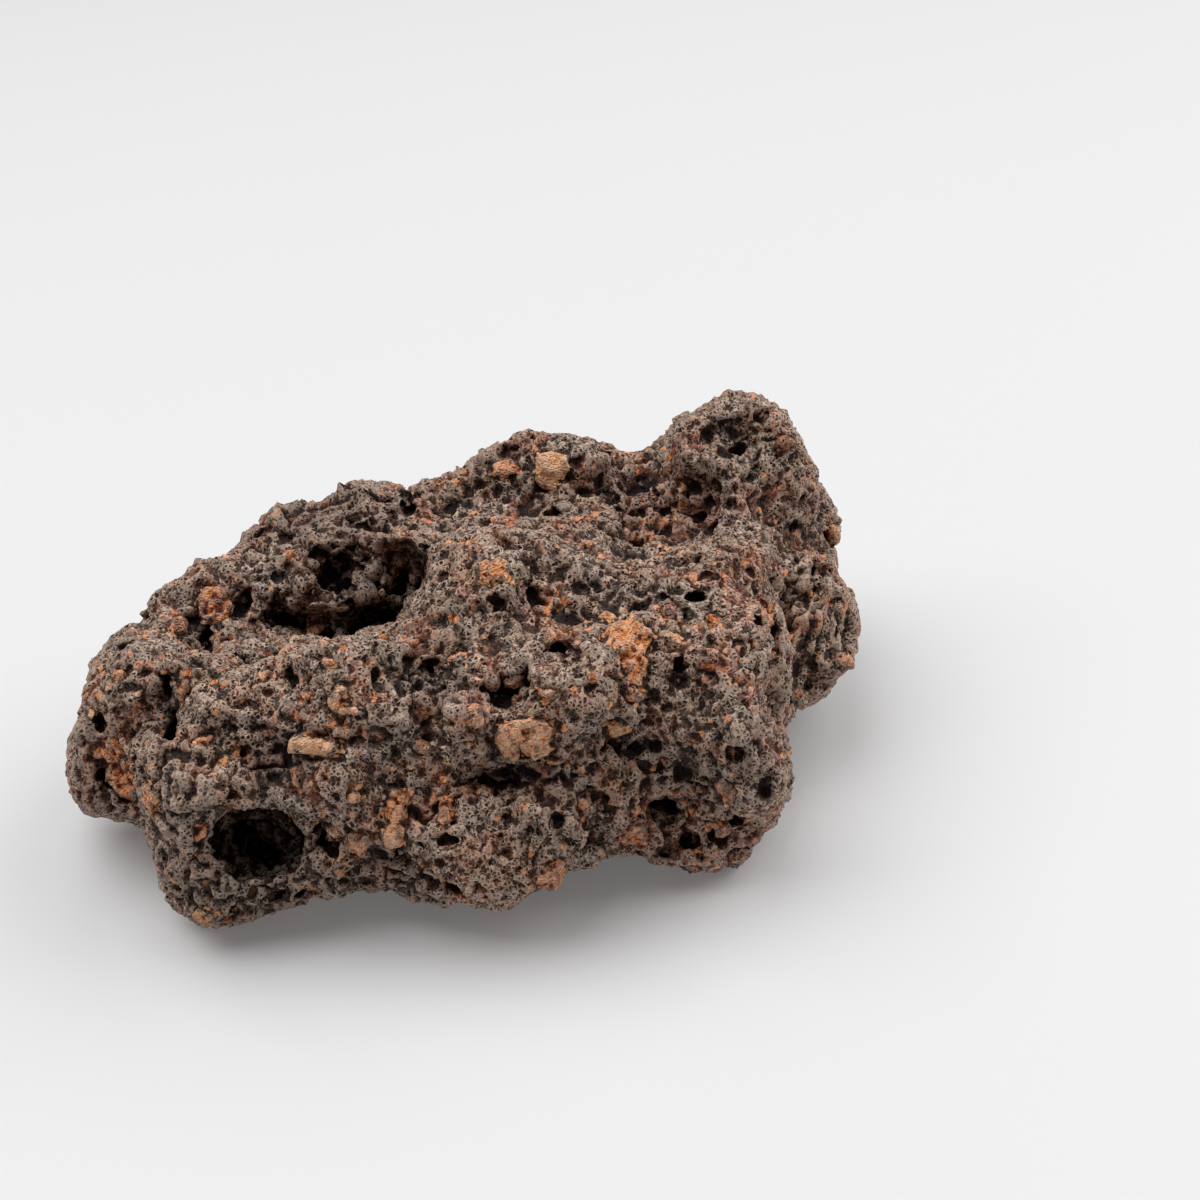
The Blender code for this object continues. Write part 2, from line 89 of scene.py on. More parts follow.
# Named pits: place in pixels, half-width, half-height and depth in mm, slant in degrees, and for
# one that starts in front of the surface that the pixel shows, by how many mm
PITS = {
    "vesicle mouth": ((256, 838), 1.80, 1.36, 1.5, -6, 2.2),
    "left dark pit": ((204, 636), 0.36, 0.44, 1.5, 20),
    "left dark pit foot": ((209, 649), 0.22, 0.26, 1.2, 0),
    "ledge hollow": ((240, 659), 0.42, 0.20, 1.0, -10),
    "groove top": ((166, 688), 0.16, 0.50, 0.9, 0),
    "groove foot": ((171, 730), 0.26, 0.62, 1.1, -8),
    "vesicle cellar": ((268, 850), 0.70, 0.45, 1.4, 0),
    "slot left": ((287, 621), 0.50, 0.30, 1.6, -20),
    "slot floor": ((328, 634), 0.45, 0.25, 2.0, 0),
    "slot middle": ((360, 628), 0.62, 0.34, 3.2, 8),
    "slot right": ((390, 617), 0.50, 0.36, 3.2, 10),
    "upper left hole": ((343, 564), 0.26, 0.20, 1.0, 0),
    "upper middle hole": ((322, 578), 0.22, 0.26, 0.6, 0),
    "upper right hole": ((409, 563), 0.20, 0.42, 1.4, 12),
    "upper right foot": ((396, 592), 0.34, 0.22, 1.5, 0),
    "behind the lump": ((305, 601), 0.24, 0.18, 1.4, 0),
    "sponge left": ((306, 582), 0.22, 0.30, 0.6, 10),
    "sponge middle": ((338, 586), 0.30, 0.20, 0.9, 0),
    "sponge top": ((366, 556), 0.40, 0.22, 1.0, 10),
    "sponge right": ((374, 584), 0.22, 0.30, 1.2, 0),
    "sponge foot": ((344, 603), 0.34, 0.16, 0.9, 0),
    "sponge far": ((400, 578), 0.34, 0.44, 1.4, 10),
    "hollow beside it": ((418, 582), 0.26, 0.50, 1.2, 10),
    "brown wall": ((318, 556), 0.30, 0.24, 0.7, 0),
    "knob notch": ((406, 508), 0.34, 0.20, 1.2, -40),
    "knob notch top": ((403, 490), 0.28, 0.34, 1.8, 0),
    "knob hollow": ((384, 503), 0.42, 0.28, 0.9, 20),
    "knob foot": ((362, 513), 0.22, 0.18, 0.6, 0),
    "pebble hole left": ((322, 838), 0.17, 0.50, 1.0, 12),
    "pebble hole foot": ((330, 850), 0.30, 0.20, 0.8, 0),
    "small hole": ((347, 829), 0.14, 0.14, 0.5, 0),
    "low slot": ((398, 860), 0.56, 0.15, 0.9, 4),
    "bump groove left": ((470, 796), 0.42, 0.12, 0.5, 0),
    "bump crevice": ((557, 821), 0.50, 0.15, 0.8, -32),
    "middle crevice": ((557, 650), 0.70, 0.16, 1.0, 4),
    "basin hole": ((690, 513), 0.55, 0.34, 0.7, -10),
    "basin low hole": ((641, 541), 0.42, 0.32, 0.6, 0),
    "upper pit": ((551, 514), 0.20, 0.15, 0.5, 0),
    "long pit": ((696, 598), 0.42, 0.17, 0.9, -6),
    "pit by the long one": ((675, 583), 0.14, 0.13, 0.5, 0),
    "right pit": ((702, 686), 0.18, 0.17, 0.6, 0),
    "right pit upper": ((681, 665), 0.14, 0.13, 0.5, 0),
    "right pit lower": ((677, 712), 0.17, 0.14, 0.5, 0),
    "right pit left": ((654, 701), 0.15, 0.13, 0.5, 0),
    "right pit far": ((723, 668), 0.13, 0.13, 0.4, 0),
    "orange slot": ((624, 680), 0.34, 0.13, 0.7, 20),
    "front right cavity": ((662, 806), 0.55, 0.26, 1.3, -14),
    "low right cavity": ((688, 842), 0.36, 0.22, 0.9, 0),
    "right edge cavity": ((735, 785), 0.22, 0.26, 0.7, 0),
    "middle pit": ((509, 785), 0.30, 0.16, 0.6, 0),
    "clast hollow": ((500, 690), 0.66, 0.30, 0.7, -6),
    "block crevice": ((490, 742), 0.13, 0.42, 0.7, 14),
    "lobe crevice upper": ((812, 573), 0.13, 0.50, 0.8, -16),
    "lobe crevice lower": ((798, 600), 0.13, 0.50, 0.8, -22),
    "dip by the rib": ((430, 668), 0.40, 0.32, 0.7, 10),
    "dip by the grain": ((444, 690), 0.24, 0.24, 0.6, 0),
    "soft hollow pit": ((276, 752), 0.30, 0.20, 0.4, 0),
    "left lobe hollow": ((104, 781), 0.36, 0.34, 0.6, 0),
    "square hollow": ((713, 621), 0.24, 0.40, 0.6, 0),
    "right groove": ((757, 614), 0.14, 0.70, 0.4, 8),
    "right groove far": ((775, 640), 0.14, 0.60, 0.4, 10),
    "right groove low": ((742, 650), 0.12, 0.50, 0.4, 8),
    "reddish pit": ((550, 512), 0.34, 0.26, 0.6, 0),
    "dark ring": ((541, 595), 0.50, 0.34, 0.5, 0),
    "basin left hole": ((655, 497), 0.40, 0.24, 0.5, 0),
    "basin right hole": ((712, 505), 0.34, 0.22, 0.5, -10),
}

# Spongy places: middle, half-width and half-height in pixels, then how many small pits they
# have and the pits' radius in mm
SPONGES = {
    "cavity wall": ((350, 576), 82, 32, 120, 0.15),
    "cavity left": ((290, 590), 30, 24, 26, 0.13),
    "basin": ((675, 512), 62, 26, 60, 0.13),
    "over the block": ((500, 690), 40, 16, 26, 0.12),
    "low front": ((330, 880), 120, 34, 60, 0.12),
    "right foot": ((690, 830), 60, 26, 40, 0.13),
    "knob": ((360, 515), 40, 14, 20, 0.12),
}

# Named raised forms: place in pixels, half-width, half-height and height in mm, and slant
RIDGES = {
    "bright swell": ((483, 553), 1.10, 0.90, 0.16, 20),
    "sill lump": ((372, 636), 0.42, 0.36, 0.22, 0),
    "bridge right": ((398, 602), 0.50, 0.20, 0.18, 20),
    "ledge line left": ((179, 664), 0.80, 0.13, 0.14, -16),
    "ledge line right": ((219, 661), 0.72, 0.13, 0.14, 12),
    "left ridge upper": ((176, 735), 0.20, 0.90, 0.16, 6),
    "left ridge lower": ((168, 792), 0.22, 0.90, 0.14, 6),
    "knob lump": ((370, 499), 0.90, 0.42, 0.40, 10),
    "knob ridge": ((342, 527), 1.30, 0.16, 0.16, -17),
    "crest left": ((535, 813), 0.60, 0.18, 0.18, 18),
    "crest right": ((563, 829), 0.55, 0.18, 0.18, 40),
    "crevice arc": ((556, 662), 0.62, 0.13, 0.14, 0),
    "basin rim left": ((622, 505), 0.62, 0.12, 0.14, 14),
    "basin rim right": ((650, 521), 0.50, 0.12, 0.14, 50),
    "pebble": ((180, 625), 0.30, 0.26, 0.20, 0),
    "pebble in the hole": ((334, 833), 0.20, 0.26, 0.24, 10),
    "smooth clast": ((360, 848), 0.36, 0.40, 0.16, 0),
    "slot bridge": ((397, 858), 0.10, 0.20, 0.10, 0),
    "vesicle rim": ((256, 803), 1.40, 0.14, 0.10, -6),
}

# Mineral clasts: place in pixels, half-width and half-height in mm, slant, tone, and height in
# mm. Tone 0 is red-brown, 0.5 is orange and 1 is pale.
CLASTS = {
    "upper left": ((215, 604), 0.66, 0.58, 20, 0.20, 0.14),
    "below upper left": ((214, 634), 0.22, 0.30, 0, 0.40, 0.06),
    "lobe top": ((112, 752), 0.52, 0.44, -30, 0.28, 0.12),
    "lobe middle": ((129, 778), 0.74, 0.62, -50, 0.36, 0.14),
    "lobe foot": ((145, 797), 0.56, 0.46, -40, 0.40, 0.12),
    "orange bar": ((315, 746), 0.98, 0.27, -6, 1.05, 0.26),
    "angle upright": ((336, 700), 0.20, 0.46, -20, 0.72, 0.14),
    "angle foot": ((350, 710), 0.38, 0.18, -20, 0.85, 0.14),
    "angle grain": ((344, 694), 0.24, 0.20, 0, 0.52, 0.12),
    "upright": ((398, 806), 0.36, 0.66, 8, 0.70, 0.12),
    "upright foot": ((393, 836), 0.44, 0.46, 0, 0.74, 0.12),
    "upright grain": ((394, 830), 0.24, 0.22, 0, 0.92, 0.12),
    "big orange": ((629, 636), 0.78, 0.66, -20, 0.60, 0.12),
    "big orange tail": ((638, 667), 0.38, 0.62, 8, 0.58, 0.08),
    "block": ((524, 738), 0.94, 0.66, 4, 0.78, 0.20),
    "back patch": ((551, 468), 0.62, 0.72, -10, 1.05, 0.10),
    "back patch left": ((505, 469), 0.50, 0.36, 10, 0.60, 0.05),
    "upper grain": ((495, 572), 0.52, 0.34, 0, 0.60, 0.10),
    "middle grain": ((558, 634), 0.40, 0.24, 10, 0.50, 0.08),
    "orange by the big one": ((607, 617), 0.30, 0.24, 0, 0.55, 0.08),
    "white grain": ((674, 638), 0.20, 0.18, 0, 1.00, 0.14),
    "grain above": ((668, 610), 0.22, 0.20, 0, 0.70, 0.08),
    "bump clast": ((553, 877), 0.72, 0.46, -10, 0.36, 0.08),
    "right edge": ((835, 534), 0.32, 0.42, 0, 0.72, 0.14),
    "right edge low": ((842, 661), 0.26, 0.32, 0, 0.50, 0.12),
    "peak grain": ((786, 444), 0.36, 0.22, 20, 0.20, 0.08),
    "right streak": ((762, 600), 0.22, 0.52, 16, 0.20, 0.06),
    "right streak low": ((768, 622), 0.20, 0.42, 6, 0.16, 0.06),
    "square": ((712, 619), 0.32, 0.28, 0, 0.55, 0.10),
    "front red": ((635, 836), 0.46, 0.36, 0, 0.16, 0.06),
    "front red right": ((721, 830), 0.40, 0.34, 0, 0.18, 0.06),
    "groove sliver": ((183, 690), 0.16, 0.60, -6, 0.44, 0.10),
    "reddish smooth": ((360, 848), 0.38, 0.44, 0, 0.14, 0.04),
    "grain below it": ((342, 874), 0.24, 0.18, 0, 0.48, 0.08),
    "pale pebble": ((334, 834), 0.22, 0.28, 10, 0.86, 0.04),
    "pink pebble": ((180, 624), 0.32, 0.28, 0, 0.26, 0.04),
    "in the cavity": ((318, 624), 0.52, 0.44, 30, 0.10, 0.10),
    "left wall": ((320, 570), 0.30, 0.46, 10, 0.06, 0.06),
    "left front grain": ((204, 741), 0.26, 0.18, 0, 0.70, 0.08),
    "left front grain low": ((223, 761), 0.22, 0.20, 0, 0.60, 0.08),
    "front grain": ((295, 775), 0.24, 0.42, 10, 0.46, 0.06),
    "front grain right": ((355, 797), 0.22, 0.20, 0, 0.62, 0.08),
    "sill grain": ((325, 660), 0.20, 0.18, 0, 0.60, 0.08),
    "rib grain": ((456, 659), 0.30, 0.26, 0, 0.80, 0.14),
    "middle left grain": ((421, 746), 0.24, 0.20, 0, 0.34, 0.06),
    "middle right grain": ((544, 693), 0.30, 0.18, 10, 0.62, 0.06),
    "pale sliver": ((619, 731), 0.40, 0.22, -14, 0.90, 0.12),
    "yellow grain": ((582, 772), 0.20, 0.18, 0, 0.95, 0.14),
    "pale upper grain": ((651, 566), 0.18, 0.16, 0, 0.80, 0.10),
    "upper right grain": ((710, 561), 0.24, 0.20, 0, 0.66, 0.08),
    "foot grain": ((205, 917), 0.34, 0.24, 0, 0.66, 0.08),
    "block shade": ((474, 716), 0.22, 0.46, 0, 0.34, 0.06),
    "block spot": ((515, 731), 0.16, 0.16, 0, 1.00, 0.02),
    "over the block": ((516, 681), 0.42, 0.22, 10, 0.18, 0.10),
    "under the block": ((556, 763), 0.20, 0.14, 0, 0.80, 0.06),
    "groove fragment": ((462, 789), 0.46, 0.14, 4, 0.60, 0.07),
    "groove fragment right": ((486, 791), 0.30, 0.16, -8, 0.80, 0.08),
    "groove red": ((448, 812), 0.28, 0.48, 10, 0.30, 0.06),
    "right of the orange": ((702, 662), 0.30, 0.26, 0, 0.24, 0.05),
    "under the orange": ((640, 693), 0.30, 0.22, 0, 0.30, 0.06),
    "right front grain": ((654, 766), 0.16, 0.14, 0, 0.55, 0.06),
    "right front grain far": ((671, 762), 0.22, 0.16, 0, 0.40, 0.06),
    "right block red": ((726, 791), 0.28, 0.36, 0, 0.20, 0.05),
    "right foot grain": ((745, 820), 0.20, 0.28, 0, 0.42, 0.05),
    "low pink pebble": ((424, 863), 0.26, 0.20, 0, 0.28, 0.08),
    "right of the angle": ((380, 692), 0.22, 0.14, 0, 0.60, 0.08),
    "left of the angle": ((305, 692), 0.24, 0.18, 0, 0.30, 0.06),
    "middle left": ((387, 764), 0.20, 0.20, 0, 0.42, 0.06),
    "beside the vesicle": ((200, 832), 0.18, 0.30, 0, 0.36, 0.05),
    "beside it lower": ((204, 858), 0.18, 0.20, 0, 0.48, 0.06),
    "left lobe sliver": ((89, 714), 0.40, 0.12, -30, 0.60, 0.05),
    "left lobe grain": ((116, 672), 0.25, 0.20, 0, 0.30, 0.06),
    "left shoulder grain": ((163, 656), 0.22, 0.20, 0, 0.22, 0.06),
}

# Broad patches: place in pixels, radius in mm, and how much painted shade, rust and painted light
# each has
SHADE_RUST_AND_LIGHT = {
    "low front": ((250, 892), 3.2, 0.62, 0.0, 0.0),
    "low front middle": ((392, 885), 2.6, 0.50, 0.0, 0.0),
    "vesicle": ((256, 840), 2.0, 0.75, 0.0, 0.0),
    "right block": ((700, 755), 3.2, 0.30, 0.1, 0.0),
    "right foot": ((700, 845), 2.4, 0.00, 0.5, 0.2),
    "basin": ((672, 508), 2.2, 0.20, 0.8, 0.0),
    "basin hollow": ((640, 540), 1.3, 0.20, 0.9, 0.0),
    "middle dip": ((430, 686), 1.3, 0.60, 0.1, 0.0),
    "over the block": ((506, 690), 1.2, 0.50, 1.0, 0.0),
    "beside the block": ((480, 715), 0.9, 0.20, 0.8, 0.0),
    "knob": ((350, 512), 2.4, 0.85, 0.6, 0.0),
    "cavity": ((350, 585), 2.8, 0.70, 0.3, 0.0),
    "cavity slot": ((350, 625), 2.0, 0.80, 0.2, 0.0),
    "cavity rim": ((300, 545), 1.6, 0.35, 0.5, 0.0),
    "right slope": ((770, 610), 2.6, 0.00, 0.5, 0.2),
    "back left": ((322, 516), 2.6, 0.85, 0.3, 0.0),
    "left lobe front": ((105, 795), 1.3, 0.55, 0.2, 0.0),
    "left lobe foot": ((136, 808), 1.6, 0.50, 0.2, 0.0),
    "groove": ((166, 712), 1.2, 0.55, 0.0, 0.0),
    "left pit": ((203, 634), 1.2, 0.60, 0.0, 0.0),
    "soft hollow": ((272, 756), 1.3, 0.50, 0.0, 0.0),
    "under the block": ((545, 780), 1.8, 0.50, 0.0, 0.0),
    "right of the block": ((610, 760), 1.4, 0.30, 0.2, 0.0),
    "bump groove": ((470, 800), 1.2, 0.50, 0.3, 0.0),
    "upper right dip": ((745, 435), 1.3, 0.20, 0.0, 0.0),
    "right lobe": ((825, 610), 2.4, 0.00, 0.1, 1.3),
    "peak": ((795, 440), 2.2, 0.00, 0.0, 1.0),
    "upper middle": ((560, 505), 2.8, 0.26, 0.2, 0.0),
    "lobe crevice": ((790, 620), 1.0, 0.40, 0.2, 0.0),
    "pebble hole": ((335, 845), 1.2, 0.30, 0.9, 0.0),
    "front middle": ((360, 790), 1.6, 0.00, 0.4, 0.3),
    "low right red": ((640, 832), 1.5, 0.10, 0.8, 0.0),
    "red patch": ((715, 640), 1.6, 0.00, 0.4, 0.1),
    "bump top": ((495, 852), 2.3, 0.00, 0.0, 1.6),
    "bump crest": ((540, 822), 1.0, 0.00, 0.0, 1.0),
    "swell": ((486, 555), 2.6, 0.00, 0.0, 0.5),
    "front left brow": ((240, 700), 2.4, 0.00, 0.0, 1.3),
    "left ridge": ((176, 780), 1.6, 0.12, 0.0, 0.1),
    "sill": ((340, 660), 1.8, 0.00, 0.1, 0.4),
    "right of the clast": ((700, 660), 1.6, 0.00, 0.0, 0.3),
    "mid front": ((560, 680), 1.2, 0.00, 0.0, 0.4),
    "rib": ((455, 720), 1.0, 0.00, 0.0, 0.4),
}

# Glass drawn out into threads: place in pixels, radius in mm, slant and height of the threads
FLOWS = {
    "left ridge": ((172, 770), 1.9, 4, 0.14),
    "left groove": ((186, 705), 1.0, 0, 0.11),
    "right slope": ((782, 600), 2.2, -14, 0.20),
    "right lobe": ((818, 630), 2.0, -16, 0.18),
    "right foot": ((775, 700), 1.8, -8, 0.18),
    "left edge": ((100, 720), 1.6, -20, 0.09),
}


def lined_up():
    """The camera's frame, in mm: X to the right, Y up and Z back."""
    turn = Matrix.Rotation(math.radians(-AZIMUTH), 4, "Z")
    tilt = Matrix.Rotation(math.radians(90.0 - ELEVATION), 4, "X")
    roll = Matrix.Rotation(math.radians(-ROLL), 4, "Z")
    return Matrix.Translation(EYE) @ turn @ tilt @ roll


def sight(place):
    """The direction from the camera through a pixel."""
    across = (place[0] / FRAME_PIXELS - 0.5) * SENSOR / LENS
    down = (place[1] / FRAME_PIXELS - 0.5) * SENSOR / LENS
    return (lined_up().to_3x3() @ Vector((across, -down, -1.0))).normalized()


def shown_at(surface, place):
    """The point of the stone that a pixel shows, or None."""
    return surface.ray_cast(EYE, sight(place))[0]


def view_turn(slant):
    """The camera's own directions, turned by the slant."""
    return lined_up().to_3x3() @ Matrix.Rotation(math.radians(slant), 3, "Z")


def add_camera():
    camera = bpy.data.objects.new("camera", bpy.data.cameras.new("camera"))
    camera.data.lens = LENS
    camera.data.sensor_width = SENSOR
    camera.data.clip_start = NEAR_CLIP * MM
    camera.data.clip_end = FAR_CLIP * MM
    place = lined_up()
    place.translation *= MM
    camera.matrix_world = place
    bpy.context.scene.collection.objects.link(camera)
    bpy.context.scene.camera = camera


# Large numbers that mix the bits of a cell's three coordinates, the seed and the result
CELL_MIXERS = (73856093, 19349663, 83492791)
SEED_MIXER = 2654435761
LAST_MIXER = 0xFF51AFD7ED558CCD


def drawn(cells, seed):
    """A repeatable draw from 0 to 1 for each whole-numbered cell."""
    keys = cells.astype(np.int64).astype(np.uint64)
    mixed = np.full(len(keys), seed * SEED_MIXER % 2**63, np.uint64)
    for axis, mixer in enumerate(CELL_MIXERS):
        mixed ^= keys[:, axis] * np.uint64(mixer)
    for _ in range(2):
        mixed = (mixed ^ (mixed >> np.uint64(33))) * np.uint64(LAST_MIXER)
    return (mixed >> np.uint64(40)).astype(float) / 2**24


def cloud(points, grain, seed):
    """Smooth noise from -1 to 1 with lumps of about the size of the grain."""
    scaled = points / grain + 0.5
    base = np.floor(scaled)
    part = scaled - base
    part = part**3 * (part * (part * 6.0 - 15.0) + 10.0)
    total = np.zeros(len(points))
    for corner in itertools.product((0, 1), repeat=3):
        share = np.where(corner, part, 1.0 - part).prod(axis=1)
        total += share * drawn(base + corner, seed)
    return total * 2.0 - 1.0


def clouds(points, grain, seed, layers=3):
    """Noise of several grains, each half as large and half as high as the one before."""
    total = sum(cloud(points, grain / 2**i, seed + i) / 2**i for i in range(layers))
    return total / (2.0 - 2.0 ** (1 - layers))


def creased(points, grain, seed, layers=2):
    """Noise with sharp creases where it is lowest, and about 0 on average."""
    return np.abs(clouds(points, grain, seed, layers)) - 0.25


def pushes(points, grain, seed):
    """Noise from -1 to 1 along each of the three axes."""
    return np.stack([cloud(points, grain, seed + i) for i in range(3)], axis=1)


def scattered(points, grain, seed):
    """How far the nearest of scattered centres is, in grains, and that centre's draw."""
    scaled = points / grain
    base = np.floor(scaled)
    near = np.full(len(points), 9.0)
    draw = np.zeros(len(points))
    for step in itertools.product((-1, 0, 1), repeat=3):
        cell = base + step
        centre = cell + np.stack([drawn(cell, seed + i) for i in range(3)], axis=1)
        away = np.linalg.norm(centre - scaled, axis=1)
        draw = np.where(away < near, drawn(cell, seed + 3), draw)
        near = np.minimum(near, away)
    return near, draw


def smooth_step(values, low, high):
    share = np.clip((values - low) / (high - low), 0.0, 1.0)
    return share * share * (3.0 - 2.0 * share)


def along_lines(values, width):
    """1 along the lines where noise is 0, falling off within the width."""
    return np.exp(-((values / width) ** 2))


def points_of(mesh):
    values = np.empty(len(mesh.vertices) * 3)
    mesh.vertices.foreach_get("co", values)
    return values.reshape(-1, 3)


def normals_of(mesh):
    values = np.empty(len(mesh.vertices) * 3)
    mesh.vertex_normals.foreach_get("vector", values)
    return values.reshape(-1, 3)


def set_points(mesh, points):
    mesh.vertices.foreach_set("co", points.ravel())
    mesh.update()


def set_attribute(mesh, name, values):
    attribute = mesh.attributes.new(name, "FLOAT", "POINT")
    attribute.data.foreach_set("value", values.astype(np.float32))


def settle(piece):
    """Applies the modifiers of an object."""
    graph = bpy.context.evaluated_depsgraph_get()
    result = bpy.data.meshes.new_from_object(piece.evaluated_get(graph))
    piece.modifiers.clear()
    old = piece.data
    piece.data = result
    bpy.data.meshes.remove(old)


def resurface(piece, voxel, rounds):
    """Gives a piece one even closed mesh, and softens it."""
    remesh = piece.modifiers.new("Fuse", "REMESH")
    remesh.mode = "VOXEL"
    remesh.voxel_size = voxel
    smooth = piece.modifiers.new("Soften", "SMOOTH")
    smooth.factor = 0.5
    smooth.iterations = rounds
    settle(piece)


def linked(name, mesh):
    made = bpy.data.objects.new(name, mesh)
    bpy.context.scene.collection.objects.link(made)
    return made


def object_from(shape, name):
    mesh = bpy.data.meshes.new(name)
    shape.to_mesh(mesh)
    shape.free()
    return linked(name, mesh)


def surface_of(piece):
    return BVHTree.FromObject(piece, bpy.context.evaluated_depsgraph_get())


def cut_with(piece, helper):
    """Cuts a closed helper out of a piece, and uses it up."""
    cut = piece.modifiers.new("Cut", "BOOLEAN")
    cut.operation = "DIFFERENCE"
    cut.object = helper
    cut.solver = "MANIFOLD"
    settle(piece)
    bpy.data.objects.remove(helper, do_unlink=True)


def solid_in_mm():
    """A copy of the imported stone, in mm, with its corners joined."""
    shape = bmesh.new()
    shape.from_mesh(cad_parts["stone"].data)
    bmesh.ops.scale(shape, vec=Vector((1.0, 1.0, 1.0)) / MM, verts=shape.verts)
    bmesh.ops.remove_doubles(shape, verts=shape.verts, dist=MM)
    return object_from(shape, "impactite_skin")


def unit_ball(fineness):
    """The points and triangles of a ball of radius 1."""
    shape = bmesh.new()
    bmesh.ops.create_icosphere(shape, subdivisions=fineness, radius=1.0)
    points = np.array([v.co for v in shape.verts])
    corners = np.array([[v.index for v in face.verts] for face in shape.faces])
    shape.free()
    return points, corners


def ellipsoids(forms, name):
    """One object of many ellipsoids, each given as its centre, half-sizes, axes and fineness."""
    balls = {fineness: unit_ball(fineness) for fineness in {form[3] for form in forms}}
    points, corners, count = [], [], 0
    for centre, half_sizes, turn, fineness in forms:
        ball, faces = balls[fineness]
        points.append((ball * np.array(half_sizes)) @ np.array(turn).T + np.array(centre))
        corners.append(faces + count)
        count += len(ball)
    mesh = bpy.data.meshes.new(name)
    mesh.from_pydata(np.concatenate(points), [], np.concatenate(corners))
    return linked(name, mesh)


# Subdivisions of the balls that small and large hollows are made of
COARSE_BALL = 2
FINE_BALL = 3

# How much small pits vary in size and how far they slant, in degrees, and how much longer than
# wide they are
PIT_SIZES = (0.6, 1.5)
PIT_SLANT = 60.0
PIT_LENGTH = 3.0


def named_pits(surface):
    """The pits that the stone's front shows, sunk along the line of sight."""
    for place, half_width, half_height, depth, slant, *lift in PITS.values():
        middle = shown_at(surface, place) - sight(place) * sum(lift)
        yield middle, (half_width, half_height, depth), view_turn(slant), FINE_BALL


def spongy_pits(surface):
    """Small deep pits, drawn at random over the spongy places."""
    draw = np.random.default_rng(SEED + 7)
    for (across, down), half_width, half_height, number, radius in SPONGES.values():
        for _ in range(number):
            reach = math.sqrt(draw.uniform())
            angle = draw.uniform(0.0, 2.0 * math.pi)
            aside = half_width * reach * math.cos(angle)
            below = half_height * reach * math.sin(angle)
            hit = shown_at(surface, (across + aside, down + below))
            half_sizes = radius * draw.uniform(*PIT_SIZES, 3) * (1.0, 1.0, PIT_LENGTH)
            if hit:
                yield hit, half_sizes, view_turn(draw.uniform(-PIT_SLANT, PIT_SLANT)), COARSE_BALL


# Bubbles: how many are tried, and their radii in mm, of which larger ones are rarer. From a
# radius of FINE_FROM on they are made of finer balls.
BUBBLES = 1300
LEAST_BUBBLE = 0.15
BUBBLE_SPREAD = 0.085
LARGEST_BUBBLE = 0.62
FINE_FROM = 0.3

# Bubbles crowd together in clouds of this grain in mm: the share of them that is kept where the
# cloud is 0, and what a cloud of 1 adds to it
CROWD_GRAIN = 3.2
KEPT_SHARE = 0.62
CROWDING = 0.45

# The half-sizes of a bubble and how deep its centre lies, in radii
BUBBLE_STRETCH = (0.6, 1.4)
DEEPEST = 0.45


def free_bubbles(piece):
    """Bubbles of many sizes that open all over the surface."""
    draw = np.random.default_rng(SEED)
    piece.data.calc_loop_triangles()
    corners = np.empty(len(piece.data.loop_triangles) * 3, np.int32)
    piece.data.loop_triangles.foreach_get("vertices", corners)
    tri = points_of(piece.data)[corners.reshape(-1, 3)]
    square = np.cross(tri[:, 1] - tri[:, 0], tri[:, 2] - tri[:, 0])
    area = np.linalg.norm(square, axis=1)
    picked = draw.choice(len(tri), BUBBLES, p=area / area.sum())
    shares = draw.dirichlet((1.0, 1.0, 1.0), BUBBLES)
    places = (tri[picked] * shares[:, :, None]).sum(axis=1)
    outward = square[picked] / area[picked][:, None]
    crowd = cloud(places, CROWD_GRAIN, SEED + 40)
    radii = np.minimum(LEAST_BUBBLE + draw.exponential(BUBBLE_SPREAD, BUBBLES), LARGEST_BUBBLE)
    for i in range(BUBBLES):
        if draw.random() > KEPT_SHARE + CROWDING * crowd[i]:
            continue
        half_sizes = Vector(draw.uniform(*BUBBLE_STRETCH, 3)) * radii[i]
        turn = Vector(draw.normal(size=3)).to_track_quat("Z", "Y").to_matrix()
        sunk = places[i] - outward[i] * radii[i] * draw.uniform(0.0, DEEPEST)
        yield sunk, half_sizes, turn, COARSE_BALL if radii[i] < FINE_FROM else FINE_BALL


def hollows_of(piece):
    """All pits and bubbles as one closed shape with rough walls."""
    surface = surface_of(piece)
    forms = [*named_pits(surface), *spongy_pits(surface), *free_bubbles(piece)]
    hollows = ellipsoids(forms, "hollows")
    resurface(hollows, HOLLOW_VOXEL, 1)
    points = points_of(hollows.data)
    rough = clouds(points, 0.5, SEED + 50, 2) * 0.12
    set_points(hollows.data, points + normals_of(hollows.data) * rough[:, None])
    return hollows


def place_forms(piece, table):
    """The centre, half-width, half-height and rest of the entry of each named form."""
    surface = surface_of(piece)
    for place, half_width, half_height, *rest in table.values():
        yield np.array(shown_at(surface, place)), half_width, half_height, rest


def inside_of(points, centre, half_width, half_height, slant, power=2.0):
    """How far out points are from a form's middle: 0 there and 1 at its edge. A power above 2
    makes the form blocky."""
    axes = np.array(view_turn(slant))
    half_sizes = np.array((half_width, half_height, max(half_width, half_height)))
    away = np.abs((points - centre) @ axes / half_sizes)
    return (away**power).sum(axis=1) ** (1.0 / power)


def ridge_heights(piece, points):
    heights = np.zeros(len(points))
    for centre, half_width, half_height, (height, slant) in place_forms(piece, RIDGES):
        out = inside_of(points, centre, half_width, half_height, slant)
        heights += height * (1.0 - smooth_step(out, 0.0, 1.6))
    return heights


